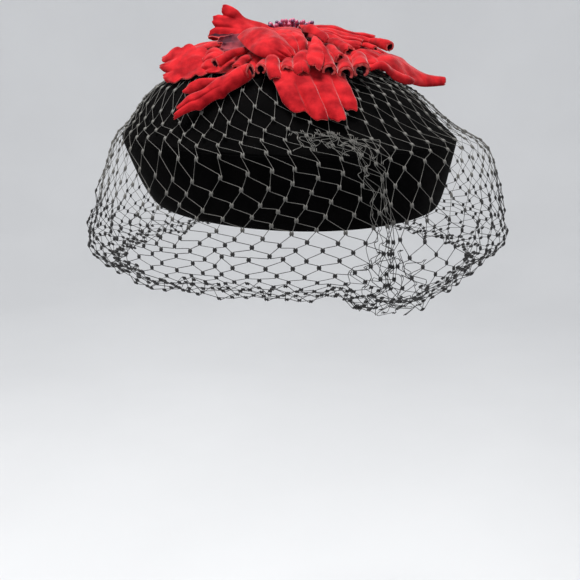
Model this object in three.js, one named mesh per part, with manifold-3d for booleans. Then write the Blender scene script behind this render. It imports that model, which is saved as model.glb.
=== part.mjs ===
// Velvet cocktail hat with a net veil and a velvet flower
// Millimetres, +Z up, front towards -Y. The origin is the middle of the head opening, on the rim's plane.

import * as THREE from 'three';
import Module from 'manifold-3d';
import { mergeVertices } from 'three/addons/utils/BufferGeometryUtils.js';

const wasm = await Module();
wasm.setup();

// Head opening, an oval that rises a little over the ears
const RIM_HALF_WIDTH = 80;
const RIM_HALF_DEPTH = 91;
const RIM_LIFT = 4.9;

// Widest edge of the hat, where the band meets the top
const EDGE_HALF_WIDTH = 94.5;
const EDGE_HALF_DEPTH = 104.5;
const EDGE_HEIGHT = 36;
const EDGE_LIFT = 6;
const EDGE_SHIFT = -5;

// The dome leans a little towards the wearer's right
const DOME_LEAN = -4;
const DOME_HEIGHT = 50;
const DOME_PROFILE = [
  { share: 1.0, height: 0.0 },
  { share: 0.965, height: 4.5 },
  { share: 0.926, height: 8.9 },
  { share: 0.867, height: 16.5 },
  { share: 0.816, height: 22.8 },
  { share: 0.706, height: 31.8 },
  { share: 0.55, height: 40.5 },
  { share: 0.38, height: 46.0 },
  { share: 0.2, height: 49.0 },
  { share: 0.0, height: 50.0 },
];

// The band flares fast at the rim and then runs almost straight
const FLARE_POWER = 0.65;
const BAND_ROWS = 4;

const WALL = 2.6;
const SEAM_GAP = 0.3;
const ROUND_STEPS = 40;

// Net veil: rows of knots, first over the dome as a share of its radius, then below the edge
const VEIL_COLUMNS = 17;
const VEIL_THICKNESS = 1.3;
const VEIL_CLEARANCE = 0.8;
const VEIL_CORD = 5.5;
const VEIL_LEAST_HOLE = 0.35;
const VEIL_ON_DOME = [{ share: 0.5 }, { share: 0.66 }, { share: 0.8 }, { share: 0.92 }];
const VEIL_SKIRT = [
  { drop: 0, out: 3.0 },
  { drop: 17, out: 4.5 },
  { drop: 35, out: 4.0 },
  { drop: 51, out: 2.5 },
  { drop: 64, out: -6.0 },
];
const VEIL_LAST_ROW = VEIL_ON_DOME.length + VEIL_SKIRT.length - 1;
// The net is one cloth, parted along a zigzag of cords into what lies on the hat and what hangs from it
const VEIL_TOP_ROWS = 3;
const VEIL_PARTING = 0.013;
// Places where the veil stands away from the hat: start is the row where it leaves the hat
const VEIL_BELLS = [
  { name: 'wearer_right', angle: 180, spread: 48, out: 18, start: 3.6, sag: 9 },
  { name: 'wearer_left', angle: -5, spread: 46, out: 27, start: 2.4, sag: 7 },
  { name: 'back', angle: 90, spread: 40, out: 9, start: 3.6, sag: -11 },
  { name: 'front_pleat', angle: -62, spread: 11, out: 5, start: 3.6, sag: 7 },
];
const BELL_FULL_ROW = 7;
const BELL_AT_HEM = 0.72;

// Flower
const HUB = { x: -4, y: -2, radius: 5.5, foot: 86.4, top: 99.4 };
const PETAL_THICKNESS = 1.2;
const PETAL_ROOT_GAP = 0.35;
const PETAL_ROOT_HALF_WIDTH = 2.2;
// tip: where the middle of the petal ends; root: its height at the hub; bed: how far it stays above the dome
// width: across its widest place; roll: turns its face from up towards the front, in degrees
// arch: its bow; curl: the angle that its sides are rolled through, in degrees
// lobes, notch: how many scallops its end has and how deep they are; taper: how much it narrows there
const PETALS = [
  { name: 'petal_front', tip: [0, -93, 54], root: 87.4, bed: 4.5, width: 42,
    roll: 0, arch: 2, curl: 40, lobes: 4, notch: 4, taper: 0.2 },
  { name: 'petal_front_left', tip: [-66, -60, 60], root: 87.4, bed: 4.2, width: 24,
    roll: 0, arch: 3, curl: 110, lobes: 3, notch: 4, taper: 0.3 },
  { name: 'petal_left', tip: [-80, -11, 82], root: 91.4, bed: 4, width: 28,
    roll: 30, arch: 1, curl: 10, lobes: 4, notch: 5, taper: 0.25 },
  { name: 'petal_right', tip: [79, -20, 75], root: 87.4, bed: 3.8, width: 22,
    roll: 35, arch: 4, curl: 50, lobes: 1, notch: 0, taper: 0.8 },
  { name: 'petal_back_left', tip: [-52, 48, 74], root: 87.4, bed: 3.8, width: 34,
    roll: 0, arch: 4, curl: 30, lobes: 4, notch: 4, taper: 0.25 },
  { name: 'petal_back_right', tip: [52, 44, 74], root: 87.4, bed: 3.6, width: 34,
    roll: 0, arch: 5, curl: 30, lobes: 4, notch: 4, taper: 0.25 },
  { name: 'petal_back', tip: [-2, 72, 70], root: 89.6, bed: 5.4, width: 36,
    roll: 0, arch: 6, curl: 20, lobes: 4, notch: 4, taper: 0.25 },
  { name: 'middle_petal_front_left', tip: [-20, -71, 74], root: 93.2, bed: 6.3, width: 28,
    roll: 0, arch: 3, curl: 50, lobes: 3, notch: 3, taper: 0.1 },
  { name: 'middle_petal_front_right', tip: [17, -68, 75], root: 94, bed: 8.8, width: 30,
    roll: 0, arch: 4, curl: 50, lobes: 4, notch: 3, taper: 0.1 },
  { name: 'middle_petal_left', tip: [-47, -46, 84], root: 96.2, bed: 9, width: 20,
    roll: 15, arch: 1, curl: 60, lobes: 3, notch: 4, taper: 0.2 },
  { name: 'middle_petal_right', tip: [50, -6, 93], root: 91, bed: 8, width: 20,
    roll: 10, arch: 3, curl: 120, lobes: 2, notch: 2, taper: 0.2 },
  { name: 'middle_petal_back', tip: [-2, 50, 88], root: 93, bed: 8, width: 32,
    roll: 0, arch: 4, curl: 40, lobes: 4, notch: 4, taper: 0.2 },
  { name: 'top_petal_left', tip: [-48, -2, 106], root: 97, bed: 8, width: 28,
    roll: 60, arch: 2, curl: 30, lobes: 3, notch: 5, taper: 0.1 },
  { name: 'top_petal_front', tip: [-13, -66, 80], root: 98.4, bed: 12.4, width: 38,
    roll: 0, arch: 5, curl: 30, lobes: 3, notch: 4, taper: 0.2 },
  { name: 'top_petal_point', tip: [6, -64, 80], root: 96.2, bed: 10.6, width: 9,
    roll: 0, arch: 4, curl: 30, lobes: 1, notch: 0, taper: 0.2 },
  { name: 'top_petal_right', tip: [42, -14, 99], root: 97, bed: 8, width: 24,
    roll: 30, arch: 3, curl: 30, lobes: 4, notch: 4, taper: 0.1 },
  { name: 'top_petal_back', tip: [-4, 36, 101], root: 97, bed: 8, width: 32,
    roll: 0, arch: 3, curl: 30, lobes: 4, notch: 4, taper: 0.2 },
];
const PETAL_ALONG = 7;
const TIP_ROUND = 0.35;

// Middle of the flower
const STAMEN_BUTTON = { radius: 6, height: 3.2 };
const STAMEN_BEADS = { count: 10, radius: 1.9, ring: 9.5, lift: 2.4 };

const deg = THREE.MathUtils.degToRad;

function material(color, roughness) {
  return new THREE.MeshStandardMaterial({ color, roughness, metalness: 0, side: THREE.DoubleSide });
}

// Reads a table of rows, sorted by one column, at a value between them
function interpolate(rows, key, value, column) {
  for (let i = 1; i < rows.length; i += 1) {
    const a = rows[i - 1];
    const b = rows[i];
    const t = (value - a[key]) / (b[key] - a[key]);
    if (t <= 1 || i === rows.length - 1) {
      return THREE.MathUtils.lerp(a[column], b[column], THREE.MathUtils.clamp(t, 0, 1));
    }
  }
  return rows[0][column];
}

// Geometry from loose triangles: shared corners merged, flat triangles dropped, faces pointing out
function closedGeometry(corners) {
  const loose = new THREE.BufferGeometry();
  loose.setAttribute('position', new THREE.Float32BufferAttribute(corners.flatMap((p) => p.toArray()), 3));
  const merged = mergeVertices(loose, 1e-3);
  const index = merged.getIndex().array;
  const kept = [];
  for (let i = 0; i < index.length; i += 3) {
    const [a, b, c] = [index[i], index[i + 1], index[i + 2]];
    if (a !== b && b !== c && c !== a) {
      kept.push(a, b, c);
    }
  }
  merged.setIndex(kept);
  if (signedVolume(merged) < 0) {
    merged.setIndex(kept.reverse());
  }
  merged.computeVertexNormals();
  return merged;
}

function signedVolume(geometry) {
  const position = geometry.getAttribute('position');
  const index = geometry.getIndex().array;
  const a = new THREE.Vector3();
  const b = new THREE.Vector3();
  const c = new THREE.Vector3();
  let sum = 0;
  for (let i = 0; i < index.length; i += 3) {
    a.fromBufferAttribute(position, index[i]);
    b.fromBufferAttribute(position, index[i + 1]);
    c.fromBufferAttribute(position, index[i + 2]);
    sum += a.dot(b.cross(c)) / 6;
  }
  return sum;
}

function pushQuad(corners, a, b, c, d) {
  corners.push(a, b, c, a, c, d);
}

// Wall between two faces, each a function of (across, along) from 0 to 1
// A wall that goes round closes on itself across, so only its first and last rows need an edge
function wallBetween({ outer, inner, across, along, round }) {
  const corners = [];
  const at = (face, i, j) => face((round ? i % across : i) / across, j / along);
  for (let i = 0; i < across; i += 1) {
    for (let j = 0; j < along; j += 1) {
      const k = i + 1;
      const n = j + 1;
      pushQuad(corners, at(outer, i, j), at(outer, k, j), at(outer, k, n), at(outer, i, n));
      pushQuad(corners, at(inner, i, j), at(inner, i, n), at(inner, k, n), at(inner, k, j));
    }
    const k = i + 1;
    pushQuad(corners, at(outer, i, 0), at(inner, i, 0), at(inner, k, 0), at(outer, k, 0));
    pushQuad(corners, at(outer, i, along), at(outer, k, along), at(inner, k, along), at(inner, i, along));
  }
  for (let j = 0; j < along && !round; j += 1) {
    const n = j + 1;
    pushQuad(corners, at(outer, 0, j), at(outer, 0, n), at(inner, 0, n), at(inner, 0, j));
    pushQuad(corners, at(outer, across, j), at(inner, across, j), at(inner, across, n), at(outer, across, n));
  }
  return closedGeometry(corners);
}

// Dome, as a function of angle in radians and share of its radius; inset moves it inwards
function domePoint(angle, share, inset = 0) {
  const height = interpolate(DOME_PROFILE, 'share', share, 'height') * (1 - inset / DOME_HEIGHT);
  const middle = EDGE_SHIFT + DOME_LEAN * (1 - share ** 8);
  const lift = EDGE_LIFT * (Math.cos(angle) * share) ** 2;
  return new THREE.Vector3(
    middle + (EDGE_HALF_WIDTH - inset) * share * Math.cos(angle),
    (EDGE_HALF_DEPTH - inset) * share * Math.sin(angle),
    EDGE_HEIGHT + lift + height,
  );
}

// Raises a point until it lies at least a bed's height above the dome, measured square to the dome
function raiseOffDome(point, bed) {
  let share = 0.5;
  let angle = 0;
  for (let i = 0; i < 6; i += 1) {
    const x = (point.x - EDGE_SHIFT - DOME_LEAN * (1 - share ** 8)) / EDGE_HALF_WIDTH;
    const y = point.y / EDGE_HALF_DEPTH;
    share = Math.min(Math.hypot(x, y), 1);
    angle = Math.atan2(y, x);
  }
  const here = domePoint(angle, share);
  const step = 0.02;
  const fall = domePoint(angle, Math.max(share - step, 0)).z - domePoint(angle, share).z;
  const slope = fall / (step * EDGE_HALF_WIDTH);
  const lowest = here.z + bed * Math.hypot(1, slope);
  if (share < 1 && point.z < lowest) {
    point.z = lowest;
  }
  return point;
}

function domeShareRow(along) {
  const rows = DOME_PROFILE.length - 1;
  return DOME_PROFILE[Math.round(along * rows)].share;
}

function crownTop() {
  const face = (inset) => (across, along) => {
    const point = domePoint(across * 2 * Math.PI, domeShareRow(along), inset);
    point.z += SEAM_GAP / 2;
    return point;
  };
  return wallBetween({
    outer: face(0), inner: face(WALL), across: ROUND_STEPS, along: DOME_PROFILE.length - 1, round: true,
  });
}

// Band, from the rim at along = 0 to the widest edge at along = 1
function bandPoint(angle, along, inset) {
  const flare = along ** FLARE_POWER;
  const halfWidth = THREE.MathUtils.lerp(RIM_HALF_WIDTH, EDGE_HALF_WIDTH, flare) - inset;
  const halfDepth = THREE.MathUtils.lerp(RIM_HALF_DEPTH, EDGE_HALF_DEPTH, flare) - inset;
  const lift = THREE.MathUtils.lerp(RIM_LIFT, EDGE_LIFT, along) * Math.cos(angle) ** 2;
  return new THREE.Vector3(
    EDGE_SHIFT * flare + halfWidth * Math.cos(angle),
    halfDepth * Math.sin(angle),
    along * (EDGE_HEIGHT - SEAM_GAP / 2) + lift,
  );
}

function sideBand() {
  const rows = (along) => along ** 1.5;
  return wallBetween({
    outer: (across, along) => bandPoint(across * 2 * Math.PI, rows(along), 0),
    inner: (across, along) => bandPoint(across * 2 * Math.PI, rows(along), WALL),
    across: ROUND_STEPS,
    along: BAND_ROWS,
    round: true,
  });
}

// Veil surface: row counts the rows of knots from the flower down, and may lie between two of them
function veilPoint(angle, row, lift) {
  const lastOnDome = VEIL_ON_DOME.length - 1;
  const onDome = (share) => {
    const step = 0.01;
    const point = domePoint(angle, share);
    const round = domePoint(angle + step, share).sub(point);
    const down = domePoint(angle, share + step).sub(point);
    const normal = round.cross(down).normalize().negate();
    return point.addScaledVector(normal, VEIL_CLEARANCE + lift);
  };
  const onSkirt = (index) => {
    const { drop, out } = VEIL_SKIRT[index];
    const reach = out + lift;
    return new THREE.Vector3(
      EDGE_SHIFT + (EDGE_HALF_WIDTH + reach) * Math.cos(angle),
      (EDGE_HALF_DEPTH + reach) * Math.sin(angle),
      EDGE_HEIGHT + EDGE_LIFT * Math.cos(angle) ** 2 - drop,
    );
  };
  const knotRow = (index) => {
    if (index <= lastOnDome) {
      return onDome(VEIL_ON_DOME[index].share);
    }
    return onSkirt(index - lastOnDome - 1);
  };
  const below = Math.min(Math.floor(row), VEIL_LAST_ROW - 1);
  let point;
  if (row <= lastOnDome) {
    const { share } = VEIL_ON_DOME[below];
    const next = VEIL_ON_DOME[Math.min(below + 1, lastOnDome)].share;
    point = onDome(THREE.MathUtils.lerp(share, next, row - below));
  } else {
    point = knotRow(below).lerp(knotRow(below + 1), row - below);
  }
  for (const { angle: middle, spread, out, start, sag } of VEIL_BELLS) {
    const away = Math.abs(THREE.MathUtils.euclideanModulo(angle / deg(1) - middle + 180, 360) - 180);
    const near = Math.exp(-0.5 * (away / spread) ** 2);
    const grown = THREE.MathUtils.smoothstep(row, start, BELL_FULL_ROW);
    const atHem = THREE.MathUtils.clamp(row - BELL_FULL_ROW, 0, 1);
    const share = near * grown * THREE.MathUtils.lerp(1, BELL_AT_HEM, atHem);
    point.x += out * share * Math.cos(angle);
    point.y += out * share * Math.sin(angle);
    point.z -= sag * near * grown;
  }
  return point;
}

// Diamond net, from one row of gaps to another: each gap is a diamond between four knots, with a strip of
// cord along each of its sides. Where the net is parted, its zigzag edge is drawn back a little
function veilNet(firstRow, lastRow) {
  const corners = [];
  const turn = (2 * Math.PI) / VEIL_COLUMNS;
  const drawnBack = (row, scale) => {
    if (scale === 1 && firstRow > 1 && row <= firstRow) {
      return row + VEIL_PARTING;
    }
    if (scale === 1 && lastRow < VEIL_LAST_ROW - 1 && row >= lastRow) {
      return row - VEIL_PARTING;
    }
    return row;
  };
  for (let row = firstRow; row <= lastRow; row += 1) {
    for (let column = 0; column < VEIL_COLUMNS; column += 1) {
      const middle = (column + (row % 2) / 2) * turn;
      const knots = [[0, -1], [0.5, 0], [0, 1], [-0.5, 0]];
      const center = veilPoint(middle, row, 0);
      const knotAt = ([across, along]) => veilPoint(middle + across * turn, row + along, 0);
      const reachTo = (knot) => knotAt(knot).distanceTo(center);
      const halfWide = reachTo(knots[1]);
      const halfTall = (reachTo(knots[0]) + reachTo(knots[2])) / 2;
      const halfAcross = (halfWide * halfTall) / Math.hypot(halfWide, halfTall);
      const hole = Math.max(1 - VEIL_CORD / 2 / halfAcross, VEIL_LEAST_HOLE);
      for (let side = 0; side < 4; side += 1) {
        const from = knots[side];
        const to = knots[(side + 1) % 4];
        const overHat = row + Math.max(from[1], to[1]) < VEIL_ON_DOME.length;
        const pieces = overHat ? 2 : 1;
        for (let i = 0; i < pieces; i += 1) {
          const at = (t, scale, lift) => veilPoint(
            middle + THREE.MathUtils.lerp(from[0], to[0], t) * turn * scale,
            drawnBack(row + THREE.MathUtils.lerp(from[1], to[1], t) * scale, scale),
            lift,
          );
          const t0 = i / pieces;
          const t1 = (i + 1) / pieces;
          const outside = [at(t0, 1, VEIL_THICKNESS), at(t1, 1, VEIL_THICKNESS),
            at(t1, hole, VEIL_THICKNESS), at(t0, hole, VEIL_THICKNESS)];
          const inside = [at(t0, 1, 0), at(t1, 1, 0), at(t1, hole, 0), at(t0, hole, 0)];
          pushQuad(corners, ...outside);
          pushQuad(corners, inside[0], inside[3], inside[2], inside[1]);
          pushQuad(corners, outside[3], outside[2], inside[2], inside[3]);
          const atTop = row === firstRow && from[1] + to[1] < 0;
          const atFoot = row === lastRow && from[1] + to[1] > 0;
          if (atTop || atFoot) {
            pushQuad(corners, outside[1], outside[0], inside[0], inside[1]);
          }
        }
      }
    }
  }
  return closedGeometry(corners);
}

// Petal: a lobed wall from the hub to its tip, bowed along its length and rolled across it
function petal({ tip, root, bed, width, roll, arch, curl, lobes, notch, taper }) {
  const end = new THREE.Vector3(...tip);
  const azimuth = Math.atan2(end.y - HUB.y, end.x - HUB.x);
  const start = new THREE.Vector3(
    HUB.x + (HUB.radius + PETAL_ROOT_GAP) * Math.cos(azimuth),
    HUB.y + (HUB.radius + PETAL_ROOT_GAP) * Math.sin(azimuth),
    root,
  );
  const axis = end.clone().sub(start);
  const length = axis.length();
  axis.normalize();
  const level = axis.clone().cross(new THREE.Vector3(0, 0, 1)).normalize();
  const halfCurl = deg(Math.max(curl, 1)) / 2;
  const middlePoint = (across, along, lift) => {
    const side = 2 * across - 1;
    const turned = level.clone().applyAxisAngle(axis, deg(roll) * Math.min(1, along * 1.6));
    const normal = turned.clone().cross(axis).normalize();
    const spread = Math.sin(Math.PI * Math.min(1, along ** 0.8) * (0.5 + 0.25 * taper));
    const half = PETAL_ROOT_HALF_WIDTH + (width / 2 - PETAL_ROOT_HALF_WIDTH) * spread;
    const scallop = (notch / 2) * (1 + Math.cos(Math.PI * lobes * (side + 1)));
    const reach = along * (length - along * (TIP_ROUND * width * side * side + scallop));
    const radius = half / halfCurl;
    const angle = side * halfCurl;
    const drop = radius * (1 - Math.cos(angle));
    const point = start.clone()
      .addScaledVector(axis, reach)
      .addScaledVector(turned, (radius + lift) * Math.sin(angle))
      .addScaledVector(normal, arch * 4 * along * (1 - along) - drop + lift * Math.cos(angle));
    return raiseOffDome(point, bed + lift);
  };
  return wallBetween({
    outer: (across, along) => middlePoint(across, along, PETAL_THICKNESS / 2),
    inner: (across, along) => middlePoint(across, along, -PETAL_THICKNESS / 2),
    across: Math.max(2 * lobes, 4),
    along: PETAL_ALONG,
    round: false,
  });
}

function hub() {
  const geometry = new THREE.CylinderGeometry(HUB.radius, HUB.radius, HUB.top - HUB.foot, 16);
  geometry.rotateX(Math.PI / 2);
  geometry.translate(HUB.x, HUB.y, (HUB.top + HUB.foot) / 2);
  return geometry;
}

function solidOf(geometry) {
  const bare = geometry.clone();
  bare.deleteAttribute('normal');
  bare.deleteAttribute('uv');
  const merged = mergeVertices(bare, 1e-4);
  return new wasm.Manifold(new wasm.Mesh({
    numProp: 3,
    vertProperties: new Float32Array(merged.getAttribute('position').array),
    triVerts: new Uint32Array(merged.getIndex().array),
  }));
}

function geometryOf(solid) {
  const mesh = solid.getMesh();
  const geometry = new THREE.BufferGeometry();
  geometry.setAttribute('position', new THREE.BufferAttribute(new Float32Array(mesh.vertProperties), 3));
  geometry.setIndex(new THREE.BufferAttribute(new Uint32Array(mesh.triVerts), 1));
  geometry.computeVertexNormals();
  return geometry;
}

// A low button with beads on a thin plate round it
function stamens() {
  const foot = HUB.top + SEAM_GAP;
  const plate = new THREE.CylinderGeometry(STAMEN_BEADS.ring, STAMEN_BUTTON.radius, 1.6, 20);
  plate.rotateX(Math.PI / 2);
  plate.translate(HUB.x, HUB.y, foot + 0.8);
  const button = new THREE.SphereGeometry(STAMEN_BUTTON.radius, 14, 8);
  button.rotateX(Math.PI / 2);
  button.scale(1, 1, STAMEN_BUTTON.height / STAMEN_BUTTON.radius);
  button.translate(HUB.x, HUB.y, foot + STAMEN_BUTTON.height);
  let solid = solidOf(plate).add(solidOf(button));
  for (let i = 0; i < STAMEN_BEADS.count; i += 1) {
    const angle = (i / STAMEN_BEADS.count) * 2 * Math.PI;
    const bead = new THREE.OctahedronGeometry(STAMEN_BEADS.radius, 1);
    bead.translate(
      HUB.x + STAMEN_BEADS.ring * Math.cos(angle),
      HUB.y + STAMEN_BEADS.ring * Math.sin(angle),
      foot + STAMEN_BEADS.lift,
    );
    solid = solid.add(solidOf(bead));
  }
  return geometryOf(solid);
}

const blackVelvet = () => material(0x09090b, 0.95);
const blackNet = () => material(0x141416, 0.7);
const redVelvet = () => material(0xc81e26, 0.9);

const hat = new THREE.Group();

function addPiece(name, geometry, finish) {
  const mesh = new THREE.Mesh(geometry, finish);
  mesh.name = name;
  hat.add(mesh);
}

addPiece('crown_top', crownTop(), blackVelvet());
addPiece('side_band', sideBand(), blackVelvet());
addPiece('veil_top', veilNet(1, VEIL_TOP_ROWS), blackNet());
addPiece('veil_skirt', veilNet(VEIL_TOP_ROWS + 1, VEIL_LAST_ROW - 1), blackNet());
for (const row of PETALS) {
  addPiece(row.name, petal(row), redVelvet());
}
addPiece('flower_hub', hub(), redVelvet());
addPiece('stamens', stamens(), material(0x8a3a63, 0.6));

export default hat;
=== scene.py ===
# %% [markdown]
# Velvet hat with a net veil and a velvet flower.
# The real hat is a stiff shell covered with black velvet. A black net is drawn over it and hangs past its
# rim, and a large flower cut from red velvet sits on top. This lesson builds those pieces round the measured
# solids, which say where everything is. The hat's lengths are millimetres, and SCALE turns them into metres.

# %% Load the measured solids
import math
import random

import bpy
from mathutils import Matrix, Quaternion, Vector, noise


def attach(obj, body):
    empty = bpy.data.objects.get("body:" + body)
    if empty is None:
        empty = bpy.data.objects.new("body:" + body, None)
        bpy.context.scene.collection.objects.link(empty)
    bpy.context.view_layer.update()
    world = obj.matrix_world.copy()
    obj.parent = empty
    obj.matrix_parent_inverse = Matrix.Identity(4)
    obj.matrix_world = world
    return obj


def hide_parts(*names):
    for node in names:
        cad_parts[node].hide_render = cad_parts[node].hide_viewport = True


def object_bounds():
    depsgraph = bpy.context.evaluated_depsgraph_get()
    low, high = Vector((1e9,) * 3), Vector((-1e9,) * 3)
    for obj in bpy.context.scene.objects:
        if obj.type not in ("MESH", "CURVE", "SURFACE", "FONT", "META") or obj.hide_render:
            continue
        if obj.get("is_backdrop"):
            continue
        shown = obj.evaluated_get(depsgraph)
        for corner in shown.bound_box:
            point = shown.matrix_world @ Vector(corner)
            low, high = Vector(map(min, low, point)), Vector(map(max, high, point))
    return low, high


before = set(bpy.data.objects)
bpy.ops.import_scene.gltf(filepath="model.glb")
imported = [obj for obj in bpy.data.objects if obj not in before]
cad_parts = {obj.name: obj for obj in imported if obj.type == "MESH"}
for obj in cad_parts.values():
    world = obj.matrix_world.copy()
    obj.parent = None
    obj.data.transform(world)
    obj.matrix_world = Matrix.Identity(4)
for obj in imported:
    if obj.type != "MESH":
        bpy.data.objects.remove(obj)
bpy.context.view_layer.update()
SCALE = 0.001
print("nodes:", sorted(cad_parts))

# %% [markdown]
# The camera stands where the photograph was taken from: a little in front of the hat and slightly above it.
# Setting it first means that every later step can be judged from the same place. Its view is square.

# %% Camera
CAMERA_PLACE = Vector((-44.3, -431.1, 54.6))
CAMERA_TURN = 5.33
CAMERA_PITCH = 13.58
CAMERA_ROLL = 0.18
SENSOR = 36.0
FOCAL_PIXELS = 730
IMAGE_PIXELS = 580

camera_data = bpy.data.cameras.new("camera")
camera_data.sensor_width = SENSOR
camera_data.sensor_fit = "HORIZONTAL"
camera_data.lens = SENSOR * FOCAL_PIXELS / IMAGE_PIXELS
camera = bpy.data.objects.new("camera", camera_data)
bpy.context.scene.collection.objects.link(camera)
bpy.context.scene.camera = camera

turn = math.radians(CAMERA_TURN)
pitch = math.radians(CAMERA_PITCH)
ahead = Vector((math.sin(turn) * math.cos(pitch), math.cos(turn) * math.cos(pitch), -math.sin(pitch)))
roll_turn = Quaternion((0, 0, 1), math.radians(CAMERA_ROLL))
camera.location = CAMERA_PLACE * SCALE
camera.rotation_mode = "QUATERNION"
camera.rotation_quaternion = ahead.to_track_quat("-Z", "Y") @ roll_turn
print("lens", round(camera_data.lens, 2), "mm")

# %% [markdown]
# A few helpers come up again and again. An operator acts on all that is selected, so each piece starts by
# clearing the selection. Applying the modifiers at the end leaves a plain mesh.


# %% Helpers for objects
def clear_selection():
    if bpy.context.object and bpy.context.object.mode != "OBJECT":
        bpy.ops.object.mode_set(mode="OBJECT")
    bpy.ops.object.select_all(action="DESELECT")


def select_only(*objects):
    clear_selection()
    for obj in objects:
        obj.select_set(True)
    bpy.context.view_layer.objects.active = objects[0]


def join(objects, name):
    select_only(*objects)
    if len(objects) > 1:
        bpy.ops.object.join()
    piece = bpy.context.object
    piece.name = name
    piece.data.name = name
    return piece


def apply_modifiers(piece):
    select_only(piece)
    for modifier in list(piece.modifiers):
        bpy.ops.object.modifier_apply(modifier=modifier.name)


def settle(piece):
    """Put the object at the origin, unturned and unscaled, with its place in its mesh."""
    select_only(piece)
    bpy.ops.object.transform_apply(location=True, rotation=True, scale=True)


def give_finish(piece, *finishes):
    piece.data.materials.clear()
    for finish in finishes:
        piece.data.materials.append(finish)


def place_piece(piece, slot, *nodes):
    """Fasten a finished piece to the hat and hide the solids that it stands for. The slot, what it is made
    of, is not used.
    """
    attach(piece, "root")
    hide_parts(*nodes)
    print(piece.name, sum(len(polygon.vertices) - 2 for polygon in piece.data.polygons), "triangles")


print("solids to dress:", len(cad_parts))


# %% Helpers for numbers
def mix(a, b, t):
    return a + (b - a) * t


def clamp(value, low=0.0, high=1.0):
    return max(low, min(high, value))


def ease(value, start, end):
    """0 before the start, 1 after the end, and a soft step between them."""
    t = clamp((value - start) / (end - start))
    return t * t * (3 - 2 * t)


print("a soft step:", [round(ease(k, 0, 4), 2) for k in range(5)])

# %% [markdown]
# Every surface gets a material made from nodes. The helper lays down the shader and the noise that all of
# them share: one noise for soft patches of colour and one, much finer, for the bump of the pile or thread.
# The patterns read Object coordinates, so they stay with the piece from every side.

# %% Helper for materials
PATCH_DETAIL = 4
GRAIN_DETAIL = 3
GRAIN_DEPTH = 0.3


def cloth(name, dark, light, roughness, patch_size, grain_size, bump, sheen=0.0, sheen_tint=(1, 1, 1, 1),
          sheen_roughness=0.5, specular=0.5, patch_range=(0.35, 0.65)):
    material = bpy.data.materials.new(name)
    material.use_nodes = True
    nodes = material.node_tree.nodes
    links = material.node_tree.links
    shader = nodes["Principled BSDF"]
    shader.inputs["Roughness"].default_value = roughness
    shader.inputs["Specular IOR Level"].default_value = specular
    shader.inputs["Sheen Weight"].default_value = sheen
    shader.inputs["Sheen Tint"].default_value = sheen_tint
    shader.inputs["Sheen Roughness"].default_value = sheen_roughness
    place = nodes.new("ShaderNodeTexCoord")

    def noise_at(size, detail):
        texture = nodes.new("ShaderNodeTexNoise")
        texture.inputs["Scale"].default_value = 1 / (size * SCALE)
        texture.inputs["Detail"].default_value = detail
        links.new(place.outputs["Object"], texture.inputs["Vector"])
        return texture

    patches = noise_at(patch_size, PATCH_DETAIL)
    ramp = nodes.new("ShaderNodeValToRGB")
    for element, position, color in zip(ramp.color_ramp.elements, patch_range, (dark, light)):
        element.position = position
        element.color = (*color, 1)
    links.new(patches.outputs["Fac"], ramp.inputs["Fac"])
    links.new(ramp.outputs["Color"], shader.inputs["Base Color"])
    grain = noise_at(grain_size, GRAIN_DETAIL)
    relief = nodes.new("ShaderNodeBump")
    relief.inputs["Strength"].default_value = bump
    relief.inputs["Distance"].default_value = grain_size * SCALE * GRAIN_DEPTH
    links.new(grain.outputs["Fac"], relief.inputs["Height"])
    links.new(relief.outputs["Normal"], shader.inputs["Normal"])
    print("finish:", name)
    return material


# %% [markdown]
# Black velvet swallows nearly all the light that falls on it, and only glows a little where the pile is seen
# edge on, which is what sheen does. Patches where the pile lies differently are slightly lighter.

# %% Black velvet
black_velvet = cloth(
    "black_velvet", dark=(0.0006, 0.0006, 0.0007), light=(0.0018, 0.0016, 0.0017), roughness=0.95,
    patch_size=14, grain_size=0.5, bump=0.35, sheen=0.008, sheen_tint=(0.75, 0.66, 0.6, 1),
    sheen_roughness=0.35, specular=0.03)

# %% [markdown]
# The shell's dome and band are the same ovals and profile that the measured solids were made from. They are
# known by their half widths and half depths at the rim and at the widest edge, and by how the height falls
# from the top of the dome to that edge. Both ovals rise a little at the sides.

# %% The hat's ovals and profile
RIM_HALF_WIDTH = 80.0
RIM_HALF_DEPTH = 91.0
RIM_LIFT = 4.9
EDGE_HALF_WIDTH = 94.5
EDGE_HALF_DEPTH = 104.5
EDGE_HEIGHT = 36.0
EDGE_LIFT = 6.0
EDGE_SHIFT = -5.0
DOME_LEAN = -4.0
LEAN_POWER = 8
# share of the way from the top to the edge, and height above the edge
DOME_PROFILE = [
    (0.0, 50.0), (0.2, 49.0), (0.38, 46.0), (0.55, 40.5), (0.706, 31.8),
    (0.816, 22.8), (0.867, 16.5), (0.926, 8.9), (0.965, 4.5), (1.0, 0.0),
]
FLARE_POWER = 0.65
WALL = 2.6
SEAM_GAP = 0.3
print("widest edge:", 2 * EDGE_HALF_WIDTH, "by", 2 * EDGE_HALF_DEPTH, "mm")


# %% A smooth curve through a table
def smooth_curve(table, at):
    """Read a table of (place, value) rows with a smooth curve through them."""
    if at <= table[0][0]:
        return table[0][1]
    if at >= table[-1][0]:
        return table[-1][1]
    i = max(k for k in range(len(table) - 1) if table[k][0] <= at)

    def slope(k):
        a = table[max(k - 1, 0)]
        b = table[min(k + 1, len(table) - 1)]
        return (b[1] - a[1]) / (b[0] - a[0])

    (x0, y0), (x1, y1) = table[i], table[i + 1]
    span = x1 - x0
    t = (at - x0) / span
    start = 2 * t ** 3 - 3 * t ** 2 + 1
    pull_start = t ** 3 - 2 * t ** 2 + t
    end = -2 * t ** 3 + 3 * t ** 2
    pull_end = t ** 3 - t ** 2
    return start * y0 + pull_start * span * slope(i) + end * y1 + pull_end * span * slope(i + 1)


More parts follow.
